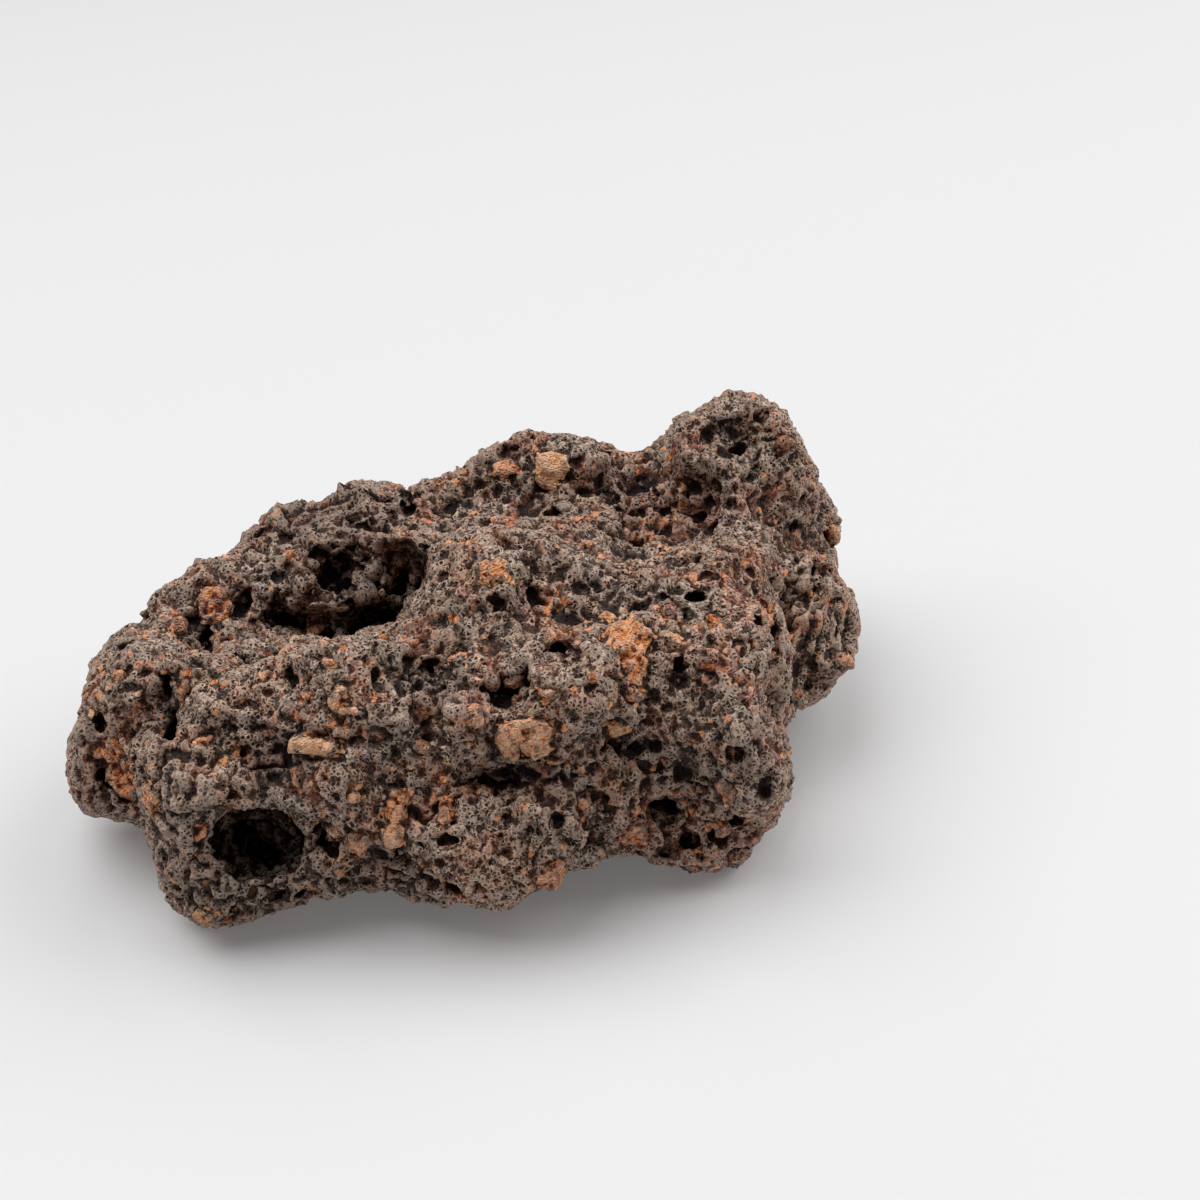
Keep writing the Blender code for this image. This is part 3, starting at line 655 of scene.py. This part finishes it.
def clast_fields(piece, points):
    """For each point: distance in mm to the nearest clast's edge, below 0 inside, the clast's
    tone, and the height it adds."""
    edge = np.full(len(points), 2.0)
    tone = np.zeros(len(points))
    height = np.zeros(len(points))
    for centre, half_width, half_height, (slant, its_tone, rise) in place_forms(piece, CLASTS):
        out = inside_of(points, centre, half_width, half_height, slant, 3.0)
        away = (out - 1.0) * min(half_width, half_height)
        tone = np.where(away < edge, its_tone, tone)
        edge = np.minimum(edge, away)
        height = np.maximum(height, rise * (1.0 - smooth_step(away, -0.12, 0.05)))
    return edge, tone, height


def bowls(points, grain, seed, radius, depth, share):
    """Pits of one grain: heights, at most 0. The share says how many of the centres have one."""
    near, draw = scattered(points, grain, seed)
    size = radius * (0.6 + 0.8 * draw / share)
    bowl = np.sqrt(np.clip(1.0 - (near / size) ** 2, 0.0, 1.0))
    return np.where(draw < share, -depth * bowl * size / radius, 0.0)


# Threads: their grain in mm, how much they are drawn out, and how narrow they are
THREAD_GRAIN = 0.42
THREAD_STRETCH = 0.88
THREAD_SHARPNESS = 3.2


def flow_threads(piece, points):
    """Threads of drawn-out glass: below 0 between them and up to 1 on them, and their heights."""
    surface = surface_of(piece)
    threads = np.zeros(len(points))
    heights = np.zeros(len(points))
    for number, (place, radius, slant, height) in enumerate(FLOWS.values()):
        middle = np.array(shown_at(surface, place))
        near = 1.0 - smooth_step(np.linalg.norm(points - middle, axis=1) / radius, 0.5, 1.1)
        along = np.array(view_turn(slant).col[1])
        squeezed = points - THREAD_STRETCH * np.outer(points @ along, along)
        noise = np.abs(clouds(squeezed, THREAD_GRAIN, SEED + 90 + number, 2))
        own = near * (1.0 - THREAD_SHARPNESS * noise)
        threads += own
        heights += own * height
    return threads, heights


def note_shade_rust_and_light(piece, points):
    """Notes the painted shade, the rust and the painted light on the surface, and gives the painted
    shade.
    """
    surface = surface_of(piece)
    fields = np.zeros((3, len(points)))
    pushed = points + 0.5 * pushes(points, 1.3, SEED + 80)
    for place, radius, *amounts in SHADE_RUST_AND_LIGHT.values():
        middle = np.array(shown_at(surface, place))
        near = 1.0 - smooth_step(np.linalg.norm(pushed - middle, axis=1) / radius, 0.3, 1.2)
        fields = np.maximum(fields, np.outer(amounts, near))
    # The first field is painted shade and the last, pale, is painted light on raised places; rust is
    # the glass's own colour
    for name, field in zip(("painted_shade", "rusty", "pale"), fields):
        set_attribute(piece.data, name, field)
    return fields[0]


def glass_relief(points, warped):
    """Heights of the glass itself in mm: its broad lumps, and its grain, creases and pits."""
    lumps = 0.34 * creased(points, 1.9, SEED + 1, 3)
    lumps -= 0.24 * creased(warped, 0.85, SEED + 3)
    grains = -0.11 * creased(warped, 0.36, SEED + 5)
    crevices = -0.20 * along_lines(clouds(warped, 1.5, SEED + 70, 2), 0.06)
    crevices *= smooth_step(cloud(points, 1.9, SEED + 71), -0.3, 0.2)
    ridges = 0.09 * along_lines(clouds(warped, 1.1, SEED + 75, 2), 0.07)
    pits = bowls(warped, 0.75, SEED + 9, 0.30, 0.22, 0.55)
    small = bowls(warped, 0.34, SEED + 14, 0.44, 0.13, 0.85)
    return lumps, grains + pits + small + crevices + ridges


def skin_relief(piece):
    """Moves the fine mesh's points, and notes what the material needs to know."""
    mesh = piece.data
    points = points_of(mesh)
    outward = normals_of(mesh)
    warped = points + 0.14 * pushes(points, 0.45, SEED + 60)
    lumps, fine = glass_relief(points, warped)
    edge, tone, rise = clast_fields(piece, warped)
    spongy = 1.0 + 0.7 * note_shade_rust_and_light(piece, points)
    threads, thread_heights = flow_threads(piece, points)
    free = smooth_step(edge, -0.05, 0.10)
    heights = (lumps + fine * free) * spongy
    heights += ridge_heights(piece, points) + thread_heights * free
    crystals = 0.20 * clouds(warped, 0.26, SEED + 30, 2) * (1.0 - free)
    gap = -0.10 * along_lines(edge - 0.05, 0.06)
    heights += rise + crystals + gap
    set_points(mesh, points + outward * heights[:, None])
    set_attribute(mesh, "thread", threads)
    set_attribute(mesh, "clast_edge", edge)
    set_attribute(mesh, "clast_tone", tone)


def note_hollows(mesh, name, rounds):
    """Notes how deep each point lies below the average of the surface around it, in mm."""
    count = len(mesh.vertices)
    ends = np.empty(len(mesh.edges) * 2, np.int32)
    mesh.edges.foreach_get("vertices", ends)
    one, other = np.concatenate([ends.reshape(-1, 2), ends.reshape(-1, 2)[:, ::-1]]).T
    neighbours = np.bincount(one, minlength=count)[:, None]
    points = points_of(mesh)
    soft = points
    for _ in range(rounds):
        sums = [np.bincount(one, soft[other, axis], count) for axis in range(3)]
        soft = (soft + np.stack(sums, axis=1) / neighbours) / 2.0
    set_attribute(mesh, name, ((soft - points) * normals_of(mesh)).sum(axis=1))


def thin_out(piece, triangles):
    thin = piece.modifiers.new("Facets", "DECIMATE")
    thin.ratio = triangles / (2.0 * len(piece.data.polygons))
    thin.use_collapse_triangulate = True
    settle(piece)


def kept_in_box(piece):
    """Keeps the skin on the ground and close to the solid's own box."""
    points = points_of(piece.data)
    low, high = (np.array(corner) / MM for corner in CAD_BOX)
    room = (high - low) * BOX_ROOM
    points = np.clip(points, low - room, high + room)
    points[:, 2] = np.maximum(points[:, 2], 0.0)
    set_points(piece.data, points)


def rough_skin():
    """The stone with its swells, pits and bubbles, as one fine even mesh."""
    skin = solid_in_mm()
    resurface(skin, BASE_VOXEL, 3)
    points = points_of(skin.data)
    swell = 0.16 * clouds(points, 2.4, SEED + 2, 2)
    set_points(skin.data, points + normals_of(skin.data) * swell[:, None])
    cut_with(skin, hollows_of(skin))
    resurface(skin, SKIN_VOXEL, 1)
    return skin


def finish_skin(skin):
    thin_out(skin, SKIN_TRIANGLES)
    kept_in_box(skin)
    for name, rounds in HOLLOW_ROUNDS.items():
        note_hollows(skin.data, name, rounds)
    skin.data.transform(Matrix.Scale(MM, 4))
    skin.data.shade_smooth()


def build_skin():
    skin = rough_skin()
    skin_relief(skin)
    finish_skin(skin)
    return skin


class Shades:
    """Adds nodes to a material's tree, with their inputs as values or as other nodes' outputs."""

    def __init__(self, name):
        self.material = bpy.data.materials.new(name)
        self.material.use_nodes = True
        self.tree = self.material.node_tree
        self.shader = self.tree.nodes["Principled BSDF"]
        self.place = self.add("ShaderNodeTexCoord").outputs["Object"]

    def add(self, kind, inputs=None, **settings):
        node = self.tree.nodes.new(kind)
        for name, value in settings.items():
            setattr(node, name, value)
        self.feed(node, inputs or {})
        return node

    def feed(self, node, inputs):
        for name, value in inputs.items():
            if isinstance(value, bpy.types.NodeSocket):
                self.tree.links.new(value, node.inputs[name])
            else:
                node.inputs[name].default_value = value

    def noise(self, grain, detail=2.0, place=None, part="Fac"):
        settings = {"Vector": place or self.place, "Scale": 1.0 / (grain * MM), "Detail": detail}
        return self.add("ShaderNodeTexNoise", settings).outputs[part]

    def cells(self, grain, place, feature="F1"):
        settings = {"Vector": place, "Scale": 1.0 / (grain * MM)}
        return self.add("ShaderNodeTexVoronoi", settings, feature=feature).outputs

    def attribute(self, name):
        return self.add("ShaderNodeAttribute", attribute_name=name).outputs["Fac"]

    def maths(self, kind, first, second=0.0, clamp=False):
        inputs = {0: first, 1: second}
        return self.add("ShaderNodeMath", inputs, operation=kind, use_clamp=clamp).outputs[0]

    def times(self, first, second):
        return self.maths("MULTIPLY", first, second)

    def plus(self, first, second, clamp=False):
        return self.maths("ADD", first, second, clamp)

    def span(self, value, low, high, to_low=0.0, to_high=1.0, kind="SMOOTHSTEP"):
        inputs = {0: value, 1: low, 2: high, 3: to_low, 4: to_high}
        return self.add("ShaderNodeMapRange", inputs, interpolation_type=kind).outputs[0]

    def lines(self, noise, height):
        """The height along the lines where noise is 0.5, and 0 beside them."""
        away = self.maths("ABSOLUTE", self.maths("SUBTRACT", noise, 0.5))
        return self.span(away, 0.040, 0.008, 0.0, height)

    def choose(self, share, first, second):
        """The first number where the share is 0, and the second where it is 1."""
        inputs = {0: share, 2: first, 3: second}
        return self.add("ShaderNodeMix", inputs, data_type="FLOAT").outputs[0]

    def mix(self, share, first, second):
        """The first colour where the share is 0, and the second where it is 1."""
        inputs = {0: share, 6: first, 7: second}
        return self.add("ShaderNodeMix", inputs, data_type="RGBA").outputs[2]

    def warped(self, grain, amount, detail, place=None):
        """A place pushed about by noise, so that cells lose their regular look."""
        centred = {0: self.noise(grain, detail, part="Color"), 1: (0.5, 0.5, 0.5)}
        centred = self.add("ShaderNodeVectorMath", centred, operation="SUBTRACT")
        push = {0: centred.outputs[0], "Scale": amount * MM}
        push = self.add("ShaderNodeVectorMath", push, operation="SCALE")
        both = {0: place or self.place, 1: push.outputs[0]}
        return self.add("ShaderNodeVectorMath", both, operation="ADD").outputs[0]


# The foam in mm: its two cell sizes and the width of the wall round a large pit. Then the large
# pits' radius in cells, and the share of the coarse cells that have one.
FINE_FOAM = 0.150
COARSE_FOAM = 0.36
LARGE_WALL = 0.012
LARGE_RADIUS = 0.40
LARGE_SHARE = 0.15

# The material's other grains, in mm
GRIT = 0.07
BREAKS = 0.13
CRYSTAL = 0.20
WORMS = 0.20
OPENINGS = 0.26
HOLES = 0.26
CRACKS = 0.30
RAGGED = 0.30
PALENESS = 0.34
WARMTH = 1.1
RUSTINESS = 1.4
DARKNESS = 2.2

# How far a clast's crystals and patches stray from its tone
TONE_SPREAD = 0.42

# Specks: the size of their cells in mm, the share of the cells that have one, and its radius
# and soft edge in cells
SPECKS = ((0.62, 0.12, 0.32), (0.34, 0.11, 0.36))
SPECK_EDGE = 0.06

# Painted shade in narrow, middling and broad hollows: the depths in mm where it starts and is
# thickest, and how much it then covers
SHADED_HOLLOWS = {
    "dent": (0.006, 0.060, 0.75),
    "hollow": (0.06, 0.45, 0.80),
    "deep": (0.15, 0.50, 0.95),
}

# The depth of the fine relief in mm
BUMP_DEPTH = 0.08

BROWN = (0.078, 0.029, 0.014, 1.0)
SLATE = (0.050, 0.035, 0.026, 1.0)
# The darkest brown: for the dark rims round clasts, and for painted shade
DARK_RIM_AND_SHADE = (0.013, 0.0037, 0.0025, 1.0)
TAN = (0.630, 0.476, 0.378, 1.0)
OCHRE = (0.640, 0.400, 0.255, 1.0)
RUST = (0.200, 0.043, 0.016, 1.0)
RUST_WALL = (0.560, 0.190, 0.090, 1.0)
CLAST_RED = (0.190, 0.043, 0.020, 1.0)
CLAST_ORANGE = (0.930, 0.325, 0.110, 1.0)
CLAST_PALE = (1.000, 0.535, 0.280, 1.0)
CLAST_DARK = (0.060, 0.014, 0.007, 1.0)


def toned(shades, tone):
    """The colour of a mineral, from red-brown at 0 by orange at 0.5 to pale at 1."""
    colour = shades.mix(shades.span(tone, 0.0, 0.5, kind="LINEAR"), CLAST_RED, CLAST_ORANGE)
    return shades.mix(shades.span(tone, 0.5, 1.0, kind="LINEAR"), colour, CLAST_PALE)


def foam(shades, place):
    """How deep, in mm, a place lies in its pit, 0 on the walls, and how open its pit is."""
    fine = shades.cells(FINE_FOAM, place, "DISTANCE_TO_EDGE")["Distance"]
    fine = shades.times(fine, FINE_FOAM)
    is_open = shades.span(shades.noise(OPENINGS, 0.0, place), 0.34, 0.58)
    coarse = shades.cells(COARSE_FOAM, place)
    depth = shades.maths("SUBTRACT", LARGE_RADIUS, coarse["Distance"])
    depth = shades.times(depth, COARSE_FOAM)
    is_small = shades.maths("GREATER_THAN", coarse["Color"], LARGE_SHARE)
    in_large = shades.maths("SUBTRACT", depth, is_small)
    in_large = shades.maths("GREATER_THAN", in_large, -LARGE_WALL)
    walls = shades.choose(in_large, fine, shades.maths("MAXIMUM", depth, 0.0))
    return walls, shades.maths("MAXIMUM", is_open, in_large)


def wall_lines(shades, place, walls):
    """1 on the foam's thin walls, which are broken here and there, and on fine threads. These lines
    are painted pale, partly as painted highlight on the rims.
    """
    rims = shades.span(walls, 0.027, 0.009)
    broken = shades.span(shades.noise(BREAKS, 0.0), 0.36, 0.60, 0.10, 1.0)
    worms = shades.lines(shades.noise(WORMS, 1.0, place), 0.7)
    return shades.maths("MAXIMUM", shades.times(rims, broken), worms)


def glass_colour(shades, place, walls, is_open, rusty):
    """Two dark browns and rust, with painted shade in the open pits and between threads, and paler
    walls and threads that are partly painted highlight.
    """
    glass = shades.mix(shades.span(shades.noise(DARKNESS), 0.42, 0.60), BROWN, SLATE)
    glass = shades.mix(shades.times(rusty, 0.8), glass, RUST)
    warm = shades.mix(shades.span(shades.noise(WARMTH, 1.0), 0.44, 0.62), TAN, OCHRE)
    wall = shades.mix(shades.times(rusty, 0.35), warm, RUST_WALL)
    # Paleness of the walls: a noise, plus the pale field, which is painted light on raised places
    pale = shades.span(shades.noise(PALENESS), 0.40, 0.70, 0.14, 1.45, "LINEAR")
    pale = shades.plus(pale, shades.times(shades.attribute("pale"), 0.55), clamp=True)
    glass = shades.mix(shades.times(wall_lines(shades, place, walls), pale), glass, wall)
    thread = shades.attribute("thread")
    glass = shades.mix(shades.span(thread, 0.25, 0.85, 0.0, 0.45), glass, wall)
    # Painted shade inside the open pits, less on threads
    inside = shades.times(shades.span(walls, 0.018, 0.046), is_open)
    inside = shades.times(inside, shades.span(thread, 0.2, 0.7, 0.90, 0.3))
    glass = shades.mix(inside, glass, DARK_RIM_AND_SHADE)
    # Painted shade between the raised threads
    return shades.mix(shades.span(thread, -0.15, -0.60, 0.0, 0.6), glass, DARK_RIM_AND_SHADE)


def clast_colour(shades, crystals, holes, cracks):
    """The clasts' tones, varied by crystal and patch. The palest are the most even ones."""
    tone = shades.attribute("clast_tone")
    patches = shades.span(holes, 0.35, 0.65, -TONE_SPREAD, TONE_SPREAD, "LINEAR")
    uneven = shades.span(tone, 0.70, 1.05, 1.0, 0.45)
    varied = shades.times(shades.plus(crystals, patches), uneven)
    clast = toned(shades, shades.plus(tone, varied))
    cracked = shades.times(cracks, shades.span(tone, 0.70, 1.05, 0.92, 0.45))
    return shades.mix(cracked, clast, CLAST_DARK)


def speckled(shades, place, colour, rusty, cracks):
    """Small mineral grains, each with its own tone. There are more of them where it is rusty."""
    for grain, share, radius in SPECKS:
        cell = shades.cells(grain, place)
        parts = shades.add("ShaderNodeSeparateColor", {0: cell["Color"]}).outputs
        share = shades.plus(shades.times(rusty, 0.40), share)
        chosen = shades.maths("LESS_THAN", parts[0], share)
        near = shades.span(cell["Distance"], radius, radius - SPECK_EDGE)
        speck = toned(shades, shades.span(parts[1], 0.0, 1.0, 0.0, 0.85, "LINEAR"))
        speck = shades.mix(shades.times(cracks, 0.7), speck, CLAST_DARK)
        colour = shades.mix(shades.times(chosen, near), colour, speck)
    return colour


def shade_and_pale_edges(shades, colour, walls, is_clast):
    """Painted shade in hollows and on the patches of painted shade, which clasts take less of, and
    convex edges that are made paler.
    """
    takes = shades.span(is_clast, 0.0, 1.0, 1.0, 0.20)
    for name, (start, thickest, cover) in SHADED_HOLLOWS.items():
        # Painted shade in the mesh's hollows
        hollow_shade = shades.span(shades.attribute(name), start, thickest, 0.0, cover)
        colour = shades.mix(shades.times(hollow_shade, takes), colour, DARK_RIM_AND_SHADE)
    # Painted shade on the named patches
    patch_shade = shades.times(shades.attribute("painted_shade"), 0.85)
    colour = shades.mix(shades.times(patch_shade, takes), colour, DARK_RIM_AND_SHADE)
    pale_edges = shades.span(shades.attribute("dent"), -0.012, -0.050)
    pale_edges = shades.times(pale_edges, shades.span(walls, 0.050, 0.020))
    return shades.mix(shades.times(pale_edges, 0.40), colour, TAN)


def fine_relief(shades, walls, is_open, crystals, grit):
    """Relief too fine for the mesh: pits and grit in the glass, and facets on the clasts."""
    pits = shades.times(shades.span(walls, 0.010, 0.080), is_open)
    glass = shades.plus(shades.times(pits, -1.0), shades.times(grit, 0.25))
    facets = shades.times(shades.plus(crystals, grit), 1.4)
    in_clast = shades.span(shades.attribute("clast_edge"), 0.03, -0.03)
    height = shades.choose(in_clast, glass, facets)
    settings = {"Strength": 1.0, "Distance": BUMP_DEPTH * MM, "Height": height}
    return shades.add("ShaderNodeBump", settings).outputs[0]


def stone_material():
    shades = Shades("impact_glass")
    place = shades.warped(0.24, 0.16, 1.0)
    place = shades.warped(0.10, 0.080, 0.0, place)
    grit = shades.noise(GRIT, 0.0)
    walls, is_open = foam(shades, place)
    rusty = shades.span(shades.noise(RUSTINESS, 3.0), 0.44, 0.68, -0.15, 0.90)
    rusty = shades.plus(rusty, shades.attribute("rusty"), clamp=True)
    holes = shades.noise(HOLES)
    cracks = shades.lines(shades.noise(CRACKS, 1.0, place), 0.85)
    cracks = shades.maths("MAXIMUM", cracks, shades.span(holes, 0.44, 0.36))
    crystals = shades.cells(CRYSTAL, place)["Color"]
    crystals = shades.span(crystals, 0.0, 1.0, -TONE_SPREAD, TONE_SPREAD, "LINEAR")
    glass = glass_colour(shades, place, walls, is_open, rusty)
    glass = speckled(shades, place, glass, rusty, cracks)
    clast = clast_colour(shades, crystals, holes, cracks)
    # A clast has a ragged edge with a dark rim round it
    edge = shades.span(shades.noise(RAGGED), 0.25, 0.75, -0.17, 0.17, "LINEAR")
    edge = shades.plus(shades.attribute("clast_edge"), edge)
    is_clast = shades.span(edge, 0.015, -0.015)
    rim = shades.times(shades.span(edge, 0.08, 0.03), shades.span(edge, -0.04, 0.0))
    colour = shades.mix(is_clast, glass, clast)
    colour = shades.mix(shades.times(rim, 0.6), colour, DARK_RIM_AND_SHADE)
    colour = shade_and_pale_edges(shades, colour, walls, is_clast)
    bump = fine_relief(shades, walls, is_open, crystals, grit)
    rough = shades.span(grit, 0.3, 0.7, 0.48, 0.78, "LINEAR")
    shades.feed(shades.shader, {"Base Color": colour, "Roughness": rough, "Normal": bump})
    shades.shader.inputs["Specular IOR Level"].default_value = 0.25
    return shades.material


# The floor: size, how far it lies below 0 and grain of its mottling, in mm, and its two greys
FLOOR_SIZE = 30000.0
FLOOR_DROP = 0.01
FLOOR_GRAIN = 90.0
FLOOR_GREY = (0.70, 0.70, 0.70, 1.0)
FLOOR_PALE = (0.71, 0.71, 0.715, 1.0)

# The floor's glow, which from FAR_START to FAR_END mm away makes up for the lights' falling off
FLOOR_GLOW = 0.155
FAR_GLOW = 0.855
FAR_START = 100.0
FAR_END = 430.0

# The softboxes: place in mm and power in watts. Then their size and what they face, in mm.
SOFTBOXES = {
    "left_softbox": ((-88.0, 32.0, 232.0), 0.59),
    "right_softbox": ((180.0, 65.0, 161.0), 0.44),
}
SOFTBOX_SIZE = 260.0
LIT_POINT = Vector((0.0, 0.0, 5.0))

SKY = (0.97, 0.98, 1.0, 1.0)
SKY_STRENGTH = 0.13


def add_floor():
    shape = bmesh.new()
    bmesh.ops.create_grid(shape, x_segments=1, y_segments=1, size=FLOOR_SIZE * MM / 2)
    floor = object_from(shape, "floor")
    floor.location.z = -FLOOR_DROP * MM
    shades = Shades("floor_white")
    shade = shades.mix(shades.noise(FLOOR_GRAIN), FLOOR_GREY, FLOOR_PALE)
    away = shades.add("ShaderNodeVectorMath", {0: shades.place}, operation="LENGTH").outputs["Value"]
    glow = shades.span(away, FAR_START * MM, FAR_END * MM, FLOOR_GLOW, FAR_GLOW)
    shades.feed(shades.shader, {"Base Color": shade, "Roughness": 0.45, "Emission Strength": glow})
    shades.shader.inputs["Emission Color"].default_value = FLOOR_GREY
    floor.data.materials.append(shades.material)


def add_softbox(name, place, power):
    light = bpy.data.objects.new(name, bpy.data.lights.new(name, "AREA"))
    light.data.size = SOFTBOX_SIZE * MM
    light.data.energy = power
    light.location = Vector(place) * MM
    towards = LIT_POINT * MM - light.location
    light.rotation_euler = towards.to_track_quat("-Z", "Y").to_euler()
    bpy.context.scene.collection.objects.link(light)


def add_lights():
    world = bpy.data.worlds.new("studio")
    world.use_nodes = True
    background = world.node_tree.nodes["Background"]
    background.inputs["Color"].default_value = SKY
    background.inputs["Strength"].default_value = SKY_STRENGTH
    bpy.context.scene.world = world
    for name, (place, power) in SOFTBOXES.items():
        add_softbox(name, place, power)
    bpy.context.scene.view_settings.view_transform = "Standard"


def main():
    add_camera()
    skin = build_skin()
    skin.data.materials.clear()
    skin.data.materials.append(stone_material())
    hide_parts("stone")
    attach(skin, "root")
    add_floor()
    add_lights()


main()
